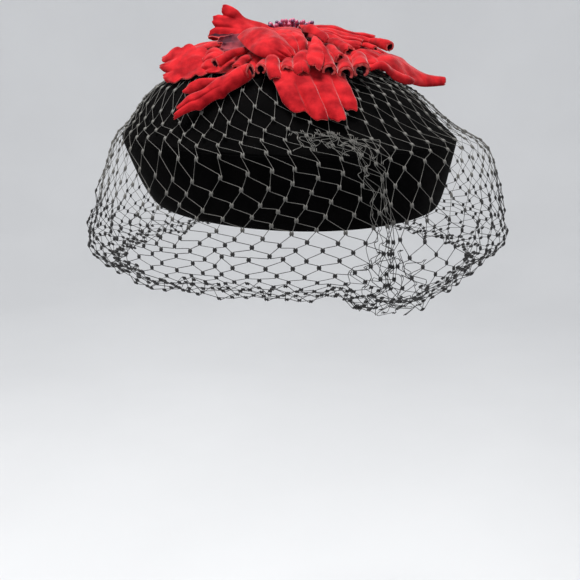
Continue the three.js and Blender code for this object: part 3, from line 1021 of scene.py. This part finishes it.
# its width in the photograph's pixels, and when enlarged
PIECE_WIDTH = 310
ENLARGED_WIDTH = 1568
ZOOM = ENLARGED_WIDTH / PIECE_WIDTH


def seen(*spots):
    """Places of spots given by enlarged pixels across and down and by the depth in millimetres."""
    places = []
    for across, down, depth in spots:
        from_middle = PIECE_LEFT + across / ZOOM - IMAGE_MIDDLE
        sight = Vector((from_middle, IMAGE_MIDDLE - down / ZOOM, -FOCAL_PIXELS))
        ray = camera.rotation_quaternion @ sight
        places.append(CAMERA_PLACE + ray * (depth - CAMERA_PLACE.y) / ray.y)
    return places


def at(*spots):
    """Places of spots given in millimetres."""
    return [Vector(spot) for spot in spots]


piece_corner = seen((0, 0, 0))[0]
print("the corner of the enlarged piece lies at", [round(c, 1) for c in piece_corner], "mm")

# %% Rows of the petal table
# share of the way along a finger, and how far it rises there as a share of its radius
FINGER_SPINE = [(0, 0.0), (0.4, 0.4), (0.75, 0.24), (1, 0.0)]
# a finger is this much narrower and less curled at its root
FINGER_ROOT = 0.8
FINGER_THICK = 0.5
THICKEST_FINGER = 2.2


# curl: at the root and at the tip, in degrees; reach: how far each lobe goes, as a share of the rails
# notch, crease: how deep they are; crease_from: where creases start; peak: where in a lobe its point lies
# side: how many lobes the sides have and how deep; drop: how far the tip turns down; wave: unevenness
# bed: height kept above the dome; turned: shows its lining; rolled: thick on one side, with its lining
# painted dark as shade
def leaf(left, right, curl=(30, 30), reach=(1.0,), notch=0.1, crease=1.6, crease_from=0.1, peak=0.75,
         side=(1, 0.0), drop=1.0, wave=1.0, bed=2.4, seed=1, turned=False, steps=34, thick=0.9,
         rolled=False, fray=0.06):
    return dict(left=left, right=right, curl=curl, reach=reach, notch=notch, crease=crease,
                crease_from=crease_from, peak=peak, side=side, drop=drop, wave=wave, bed=bed, seed=seed,
                turned=turned, steps=steps, thick=thick, rolled=rolled, fray=fray)


def finger(root, tip, radius, curl=300, bed=2.4, seed=1):
    across = (tip - root).cross(Vector((0, 0, 1))).normalized() * radius
    spine = [root.lerp(tip, share) + Vector((0, 0, lift * radius)) for share, lift in FINGER_SPINE]
    widths = [mix(FINGER_ROOT, 1, k / (len(spine) - 1)) for k in range(len(spine))]
    left = [point - across * width for point, width in zip(spine, widths)]
    right = [point + across * width for point, width in zip(spine, widths)]
    return leaf(left, right, curl=(curl * FINGER_ROOT, curl), crease=0.0, notch=0.03, drop=0.0, wave=0.4,
                bed=bed, seed=seed, steps=16, thick=min(radius * FINGER_THICK, THICKEST_FINGER), rolled=True,
                fray=0.16)


def build_petals(petals):
    for name, leaves in petals.items():
        parts = [make_petal(f"{name}_{k}", each) for k, each in enumerate(leaves)]
        place_piece(join(parts, f"velvet_{name}"), "red_velvet", name)


print("a finger has", len(FINGER_SPINE), "places along its spine")

# %% [markdown]
# The lowest petals lie on the dome. The front one hangs down over it, those on the left are wavy along
# their sides, and the one on the right runs out to a long point. The back ones are hidden, so they are plain
# leaves of the same kind, and two more leaves close the gap between the sides.

# %% The low petals
LOW_PETALS = {
    "petal_front": [
        leaf(seen((596, 318, -70), (622, 400, -80), (655, 478, -88), (700, 572, -95)),
             seen((985, 372, -68), (1006, 420, -76), (1034, 470, -82), (1062, 536, -87)), curl=(25, 35),
             reach=(1.0, 1.25, 1.3, 1.08), notch=0.16, crease=3.2, crease_from=0.0, peak=0.85, drop=1.6,
             seed=5),
    ],
    "petal_front_left": [
        leaf(seen((478, 335, -69), (420, 365, -71), (350, 402, -72), (220, 470, -73), (130, 524, -74)),
             seen((520, 400, -71), (455, 440, -73), (405, 470, -75), (375, 514, -76), (335, 508, -76),
                  (266, 560, -77), (228, 552, -77), (150, 598, -77)), curl=(170, 100), reach=(1.0, 1.05),
             notch=0.05, crease=0.8, side=(3, 0.4), drop=0.8, seed=7),
        finger(*seen((420, 410, -66), (508, 360, -73)), 3.6, curl=320, seed=61),
        leaf(seen((425, 372, -58), (345, 393, -64), (260, 398, -65), (205, 425, -64), (158, 452, -62)),
             seen((445, 405, -60), (372, 425, -67), (290, 450, -67), (225, 473, -65), (168, 474, -63)),
             curl=(120, 90), notch=0.08, crease=0.0, drop=0.5, seed=8),
    ],
    "petal_left": [
        leaf(seen((300, 255, -34), (245, 238, -32), (190, 230, -29), (120, 250, -26), (60, 276, -23)),
             seen((300, 388, -54), (240, 385, -52), (180, 412, -48), (120, 425, -44), (72, 412, -39)),
             curl=(10, 20), reach=(1.02, 1.06, 1.02), notch=0.12, crease=0.8, crease_from=0.5, peak=0.5,
             side=(3.4, 0.26), seed=9),
        leaf(seen((450, 300, -40), (390, 276, -39), (325, 234, -37), (266, 262, -36)),
             seen((460, 392, -62), (400, 392, -60), (330, 400, -57), (276, 388, -54)), curl=(30, 50),
             reach=(0.95, 1.0, 1.05, 1.0), crease=1.0, crease_from=0.3, drop=1.5, seed=10),
        finger(*seen((480, 262, -50), (332, 328, -62)), 3.0, curl=280, seed=31),
        finger(*seen((505, 300, -54), (440, 352, -66)), 3.0, curl=220, seed=32),
        leaf(at((-10, 8, 94), (-26, 12, 91), (-38, 8, 88), (-48, 4, 84)), at((-10, -16, 93),
                  (-28, -28, 90), (-40, -28, 86), (-50, -24, 83)), curl=(40, 50), reach=(1.0, 1.02),
             notch=0.08, crease=1.0, seed=72),
    ],
    "petal_right": [
        leaf(seen((1090, 300, -40), (1190, 276, -30), (1265, 290, -22), (1350, 360, -18),
                  (1440, 384, -18), (1494, 388, -20)), seen((1110, 345, -50), (1190, 350, -46),
                  (1245, 392, -42), (1330, 425, -36), (1400, 437, -28), (1492, 431, -22)), curl=(40, 60),
             notch=0.01, crease=0.6, side=(3, 0.08), drop=0.3, seed=12),
        leaf(seen((1120, 338, -46), (1172, 322, -46), (1250, 366, -42), (1340, 398, -35)),
             seen((1112, 362, -49), (1170, 350, -50), (1236, 405, -45), (1322, 432, -38)),
             curl=(150, 120), crease=0.0, drop=0.3, seed=37),
        leaf(at((0, 6, 94), (20, 12, 91), (32, 10, 88), (42, 6, 84)), at((2, -16, 93), (22, -26, 88),
                  (34, -26, 84), (42, -22, 82)), curl=(40, 50), reach=(1.0, 1.02), notch=0.08,
             crease=1.0, seed=71),
    ],
    "petal_back_left": [
        leaf(at((-2, 6, 94), (-15, 36, 88), (-29, 54, 80), (-44, 68, 68)), at((-8, 0, 94), (-46, 20, 87),
                  (-62, 34, 79), (-74, 46, 69)), curl=(40, 50), reach=(0.95, 1.0, 1.0, 0.95), notch=0.13,
             crease=1.4, drop=2.0, seed=14),
        leaf(at((-6, 6, 95.5), (-40, 24, 90), (-55, 30, 86), (-68, 34, 80)), at((-6, -5, 95.5),
                  (-42, -12, 91), (-60, -9, 87), (-76, -4, 81)), curl=(40, 60), reach=(0.95, 1.0, 0.95),
             notch=0.13, crease=1.4, drop=2.0, seed=33),
    ],
    "petal_back_right": [
        leaf(at((-2, 6, 94), (12, 36, 88), (27, 52, 80), (40, 66, 68)), at((2, 0, 94), (42, 18, 87),
                  (58, 32, 79), (70, 44, 68)), curl=(40, 50), reach=(0.95, 1.0, 1.0, 0.95), notch=0.13,
             crease=1.4, drop=2.0, seed=15),
        leaf(at((0, 6, 95.5), (32, 24, 90), (47, 30, 85), (60, 33, 79)), at((0, -5, 95.5), (34, -10, 91),
                  (50, -6, 87), (62, 2, 82)), curl=(40, 60), reach=(0.95, 1.0, 0.95), notch=0.13,
             crease=1.4, drop=2.0, seed=34),
    ],
    "petal_back": [
        leaf(at((-9, 4, 95), (-20, 38, 89), (-22, 58, 81), (-20, 76, 68)), at((3, 4, 95), (13, 38, 89),
                  (16, 58, 81), (16, 76, 68)), curl=(40, 50), reach=(0.92, 1.0, 1.0, 0.92), notch=0.13,
             crease=1.4, drop=2.0, bed=3.4, seed=16),
    ],
}
build_petals(LOW_PETALS)

# %% [markdown]
# The middle petals end in most of the little tubes. Each tube is a finger of its own, set beside the next
# with its open end towards the front, and a wider leaf behind them joins them to the flower.

# %% The middle petals
MIDDLE_PETALS = {
    "middle_petal_front_left": [
        leaf(seen((470, 215, -40), (490, 260, -50), (520, 300, -60), (548, 335, -68)),
             seen((640, 215, -40), (660, 260, -50), (690, 300, -60), (700, 335, -68)), curl=(30, 50),
             reach=(1.0, 1.0, 1.0), notch=0.06, crease=1.0, seed=18),
        finger(*seen((590, 325, -56), (560, 350, -76)), 2.9, curl=330, seed=51),
        leaf(seen((590, 290, -62), (588, 320, -70), (597, 360, -76), (616, 408, -79)),
             seen((660, 290, -62), (655, 320, -70), (652, 360, -76), (662, 408, -79)), curl=(180, 200),
             notch=0.03, crease=0.0, drop=0.0, seed=52),
        finger(*seen((705, 305, -58), (690, 362, -77)), 3.3, curl=310, seed=53),
    ],
    "middle_petal_front_right": [
        leaf(seen((730, 215, -42), (715, 260, -52), (720, 300, -62), (727, 350, -72)),
             seen((1010, 255, -38), (1030, 275, -48), (1060, 300, -58), (1085, 340, -64)), curl=(30, 50),
             reach=(1.0, 1.0, 1.0, 1.0), notch=0.06, crease=1.0, seed=19),
        leaf(seen((742, 275, -62), (728, 310, -70), (724, 350, -76), (733, 385, -79)),
             seen((818, 275, -62), (812, 310, -70), (810, 345, -76), (808, 376, -79)), curl=(120, 140),
             reach=(1.05, 0.98), crease=0.6, drop=0.5, seed=54),
        finger(*seen((885, 295, -58), (905, 362, -77)), 3.7, seed=55),
        finger(*seen((965, 305, -54), (990, 375, -75)), 4.0, curl=270, seed=56),
        finger(*seen((1040, 295, -50), (1068, 358, -71)), 4.5, seed=57),
        finger(*seen((985, 270, -46), (1058, 298, -62)), 2.8, curl=260, seed=59),
        finger(*seen((890, 240, -48), (962, 300, -68)), 2.7, curl=320, seed=58),
        finger(*seen((900, 215, -40), (1010, 265, -58)), 3.0, curl=270, seed=60),
    ],
    "middle_petal_left": [
        leaf(seen((510, 170, -30), (440, 172, -30), (385, 182, -29), (338, 200, -28)),
             seen((525, 270, -42), (455, 282, -41), (400, 282, -39), (350, 268, -37)), curl=(30, 50),
             reach=(1.0, 0.9, 1.02), notch=0.14, crease=1.2, turned=True, bed=6.0, seed=21),
        leaf(seen((420, 260, -42), (430, 295, -50), (450, 335, -58), (460, 385, -64)),
             seen((545, 240, -40), (548, 280, -52), (548, 320, -62), (550, 360, -68)), curl=(40, 50),
             reach=(1.0, 1.0), notch=0.08, crease=1.0, seed=24),
    ],
    "middle_petal_right": [
        finger(*seen((1095, 218, -12), (1214, 238, -30)), 2.9, curl=330, seed=22),
        finger(*seen((1040, 240, -26), (1140, 252, -34)), 2.2, curl=200, seed=23),
        leaf(seen((1000, 232, -20), (1060, 242, -20), (1120, 258, -22), (1180, 280, -24)),
             seen((1010, 300, -44), (1060, 310, -46), (1110, 325, -48), (1150, 338, -48)), curl=(40, 50),
             reach=(1.0, 1.0, 1.0), notch=0.08, crease=1.2, seed=36),
    ],
    "middle_petal_back": [
        leaf(at((-12, 2, 97), (-18, 26, 95), (-19, 42, 91), (-18, 58, 84)), at((5, 2, 97), (12, 26, 95),
                  (15, 42, 91), (15, 58, 84)), curl=(50, 60), reach=(0.95, 1.0, 1.0, 0.95), notch=0.13,
             crease=1.4, drop=2.0, bed=6.0, seed=23),
    ],
}
build_petals(MIDDLE_PETALS)

# %% [markdown]
# The top petals cover the roots of all the others. One folds down over the front and a pointed one hangs
# beside it. One stands up on the left and shows its lining, one reaches out to the right, and the last lies
# over the hidden back.

# %% The top petals
TOP_PETALS = {
    "top_petal_left": [
        leaf(seen((470, 165, -22), (420, 160, -20), (370, 165, -18), (330, 172, -17)),
             seen((470, 188, -26), (420, 196, -25), (370, 198, -24), (300, 194, -22)), curl=(30, 40),
             reach=(1.0, 1.05), notch=0.12, crease=0.6, turned=True, drop=0.4, bed=6.0, seed=47,
             rolled=True),
        leaf(at((-2, 6, 99)) + seen((500, 98, -12), (438, 50, -14), (370, 2, -15)), at((-2, -12, 98))
             + seen((490, 182, -24), (400, 192, -22), (318, 204, -20)), curl=(10, 25),
             reach=(0.99, 1.12, 1.12), notch=0.12, crease=1.2, crease_from=0.45, peak=0.6, drop=0.6,
             bed=6.0, seed=25),
    ],
    "top_petal_front": [
        leaf(seen((560, 146, -34), (640, 170, -48), (705, 222, -60), (742, 282, -66)),
             seen((440, 190, -44), (490, 245, -58), (560, 288, -66), (690, 314, -70)), curl=(60, 120),
             reach=(1.02, 1.0, 0.98), notch=0.05, crease=0.5, crease_from=0.4, drop=1.5, wave=1.5,
             bed=6.4, seed=26),
        leaf(seen((610, 150, -34), (640, 185, -46), (675, 225, -56), (722, 278, -63)),
             seen((748, 146, -30), (768, 170, -42), (796, 205, -52), (790, 262, -60)), curl=(30, 100),
             reach=(1.0, 1.02), notch=0.05, crease=0.9, drop=1.5, wave=1.2, bed=6.4, seed=40),
        leaf(at((-24, -4, 97)) + seen((490, 175, -38), (500, 200, -48), (520, 235, -56)),
             at((16, -4, 97)) + seen((740, 150, -38), (720, 180, -50), (700, 220, -58)), curl=(14, 30),
             reach=(1.0, 1.0, 1.0), notch=0.05, crease=0.8, crease_from=0.2, wave=1.2, bed=6.4, seed=44),
    ],
    "top_petal_point": [
        leaf(seen((832, 186, -54), (858, 236, -64), (874, 290, -71), (882, 345, -77)),
             seen((838, 186, -54), (876, 228, -63), (910, 285, -70), (936, 345, -76)), curl=(60, 160),
             notch=0.04, crease=0.0, drop=0.3, wave=0.5, bed=6.4, seed=65),
        leaf(seen((826, 184, -55), (805, 240, -67), (792, 290, -75), (802, 328, -80)),
             seen((834, 184, -55), (860, 232, -66), (880, 290, -74), (868, 346, -82)), curl=(25, 40),
             reach=(1.0, 1.06), notch=0.05, crease=0.3, crease_from=0.7, drop=0.3, wave=0.5, bed=6.4,
             seed=27),
    ],
    "top_petal_right": [
        leaf(at((-2, 4, 98)) + seen((850, 130, -8), (1000, 156, -9), (1137, 178, -8)), at((-2, -12, 98))
             + seen((890, 180, -26), (1005, 202, -22), (1137, 216, -16)), curl=(30, 70),
             reach=(1.0, 1.0), notch=0.03, crease=1.5, crease_from=-0.3, drop=0.6, bed=6.4, seed=28),
        leaf(at((2, -6, 97.5)) + seen((880, 172, -28), (980, 198, -28), (1075, 212, -24)),
             at((0, -18, 96)) + seen((895, 215, -44), (975, 243, -42), (1060, 250, -36)), curl=(60, 100),
             reach=(1.0, 1.0), notch=0.04, crease=1.2, crease_from=-0.3, drop=0.6, bed=6.4, seed=29),
        leaf(seen((750, 142, -26), (815, 146, -36), (875, 172, -44), (912, 200, -50)),
             seen((775, 165, -38), (820, 172, -46), (856, 192, -51), (884, 222, -54)), curl=(80, 120),
             notch=0.08, crease=0.0, drop=0.6, bed=6.4, seed=45),
    ],
    "top_petal_back": [
        leaf(at((-14, -4, 98.5), (-20, 16, 99), (-20, 28, 98), (-18, 42, 93)), at((6, -4, 98.5),
                  (11, 16, 99), (12, 28, 98), (10, 42, 93)), curl=(50, 60), reach=(0.95, 1.0, 1.0, 0.95),
             notch=0.13, crease=1.4, drop=2.0, bed=6.4, seed=30),
    ],
}
build_petals(TOP_PETALS)

# %% [markdown]
# Under the petals a bound stalk holds them together. It hardly shows, so the measured solid stays, and only
# takes the velvet's finish.

# %% The hidden stalk
hub = bpy.data.objects["flower_hub"]
give_finish(hub, red_velvet)
print(hub.name, "is now", hub.data.materials[0].name)

# %% [markdown]
# In the middle stands a tuft of waxed stamens, pink and plum with rounded ends. One short stalk with its bead
# is modelled and then copied, each copy with its own mesh, turned and leaned outwards.

# %% One stamen
STALK_RADIUS = 0.45
STALK_HEIGHT = 7
BEAD_RADIUS = 1.3
BEAD_HEIGHT = 7.2
BEAD_SHAPE = (0.85, 0.85, 1.25)
BEAD_SMOOTH_ANGLE = 50

pink = cloth(
    "stamen_pink", dark=(0.35, 0.06, 0.14), light=(0.62, 0.16, 0.26), roughness=0.45, patch_size=2.5,
    grain_size=0.4, bump=0.3, specular=0.5)
plum = cloth(
    "stamen_plum", dark=(0.05, 0.015, 0.05), light=(0.14, 0.04, 0.12), roughness=0.35, patch_size=2.5,
    grain_size=0.4, bump=0.3, specular=0.6)
clear_selection()
bpy.ops.mesh.primitive_cylinder_add(
    vertices=6, radius=STALK_RADIUS, depth=STALK_HEIGHT, location=(0, 0, STALK_HEIGHT / 2))
stalk = bpy.context.object
bpy.ops.mesh.primitive_uv_sphere_add(
    segments=10, ring_count=7, radius=BEAD_RADIUS, location=(0, 0, BEAD_HEIGHT))
bead = bpy.context.object
bead.scale = BEAD_SHAPE
model = join([stalk, bead], "stamen")
settle(model)
print("faces of one stamen:", len(model.data.polygons))

# %% The tuft
TUFT_FOOT = Vector((-4, -2, 99.4))
TUFT_RADIUS = 10
TUFT_LEAN = 62
STAMEN_COUNT = 70
GOLDEN_TURN = 2.39996
TURN_SCATTER = 0.35
LEAN_SCATTER = 0.25
STAMEN_HEIGHTS = (0.5, 0.85)
PLUM_SHARE = 0.45
TUFT_SEED = 41

draw = random.Random(TUFT_SEED)
made = []
for k in range(STAMEN_COUNT):
    ring = math.sqrt((k + 0.5) / STAMEN_COUNT)
    around = k * GOLDEN_TURN + draw.uniform(-TURN_SCATTER, TURN_SCATTER)
    lean = ring * math.radians(TUFT_LEAN) + draw.uniform(-LEAN_SCATTER, LEAN_SCATTER)
    copy = model.copy()
    copy.data = model.data.copy()
    bpy.context.scene.collection.objects.link(copy)
    copy.rotation_mode = "QUATERNION"
    copy.rotation_quaternion = Quaternion((-math.sin(around), math.cos(around), 0), lean)
    copy.location = (TUFT_FOOT + Vector((math.cos(around), math.sin(around), 0)) * ring * TUFT_RADIUS) * SCALE
    copy.scale = (SCALE, SCALE, SCALE * draw.uniform(*STAMEN_HEIGHTS))
    give_finish(copy, plum if draw.random() < PLUM_SHARE else pink)
    settle(copy)
    made.append(copy)
bpy.data.objects.remove(model)
stamens = join(made, "stamen_tuft")
bpy.ops.object.shade_smooth_by_angle(angle=math.radians(BEAD_SMOOTH_ANGLE))
settle(stamens)
place_piece(stamens, "stamen_pink", "stamens")

# %% [markdown]
# The hat is shown over a plain pale floor that curves up into a wall all round, so no edge shows behind it.
# It lies well below the hat, as the hat is held up and casts no shadow close by. The floor is drawn like the
# shell: a small disc whose edge is extruded outwards and then up. It and the lights are given in metres.

# %% Floor
FLOOR_HEIGHT = -0.5
FLOOR_CORNERS = 64
# radius and height above the floor of each ring
FLOOR_RINGS = [(0.02, 0), (1.2, 0), (1.7, 0.04), (2.1, 0.2), (2.35, 0.5), (2.45, 1.0), (2.48, 2.2)]

pale = cloth(
    "pale_backdrop", dark=(0.73, 0.74, 0.755), light=(0.76, 0.77, 0.785), roughness=0.95, patch_size=400,
    grain_size=30, bump=0.0, specular=0.1)
clear_selection()
bpy.ops.mesh.primitive_circle_add(
    vertices=FLOOR_CORNERS, radius=FLOOR_RINGS[0][0], fill_type="NGON", location=(0, 0, FLOOR_HEIGHT))
floor = bpy.context.object
floor.name = "floor"
bpy.ops.object.mode_set(mode="EDIT")
bpy.ops.mesh.select_all(action="SELECT")
for (before, low), (after, high) in zip(FLOOR_RINGS, FLOOR_RINGS[1:]):
    growth = after / before
    bpy.ops.mesh.select_mode(type="EDGE")
    bpy.ops.mesh.select_all(action="DESELECT")
    bpy.ops.mesh.select_non_manifold(extend=False)
    bpy.ops.mesh.extrude_edges_move(TRANSFORM_OT_translate={"value": (0, 0, high - low)})
    bpy.ops.transform.resize(value=(growth, growth, 1), center_override=(0, 0, FLOOR_HEIGHT + high))
bpy.ops.mesh.select_all(action="SELECT")
bpy.ops.mesh.normals_make_consistent(inside=True)
bpy.ops.object.mode_set(mode="OBJECT")
bpy.ops.object.shade_smooth()
give_finish(floor, pale)
settle(floor)
floor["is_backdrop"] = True
print("floor faces:", len(floor.data.polygons))

# %% [markdown]
# The light is soft and comes mostly from above, with a weaker one from the front. A pale sky fills the
# shadows. The Standard view keeps the red as strong as the velvet is.

# %% Light
SKY_COLOR = (0.93, 0.95, 1.0, 1)
SKY_STRENGTH = 0.38
LIGHT_TARGET = Vector((0, 0, 0.03))
# name, place, size, watts and colour
LIGHTS = [
    ("overhead", Vector((-0.25, -0.2, 1.5)), 0.9, 39, (1.0, 0.985, 0.96)),
    ("front", Vector((-0.6, -1.7, 0.9)), 1.2, 5, (0.96, 0.98, 1.0)),
]

bpy.context.scene.view_settings.view_transform = "Standard"
world = bpy.data.worlds.new("studio")
bpy.context.scene.world = world
world.use_nodes = True
sky = world.node_tree.nodes["Background"]
sky.inputs["Color"].default_value = SKY_COLOR
sky.inputs["Strength"].default_value = SKY_STRENGTH
for name, place, size, watts, color in LIGHTS:
    data = bpy.data.lights.new(name, "AREA")
    data.shape = "DISK"
    data.size = size
    data.energy = watts
    data.color = color
    light = bpy.data.objects.new(name, data)
    light.location = place
    light.rotation_mode = "QUATERNION"
    light.rotation_quaternion = (LIGHT_TARGET - place).to_track_quat("-Z", "Y")
    bpy.context.scene.collection.objects.link(light)
    print(name, "light of", watts, "W")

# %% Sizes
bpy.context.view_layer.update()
lowest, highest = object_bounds()
print("the model is", [round((high - low) / SCALE, 1) for low, high in zip(lowest, highest)], "mm long")
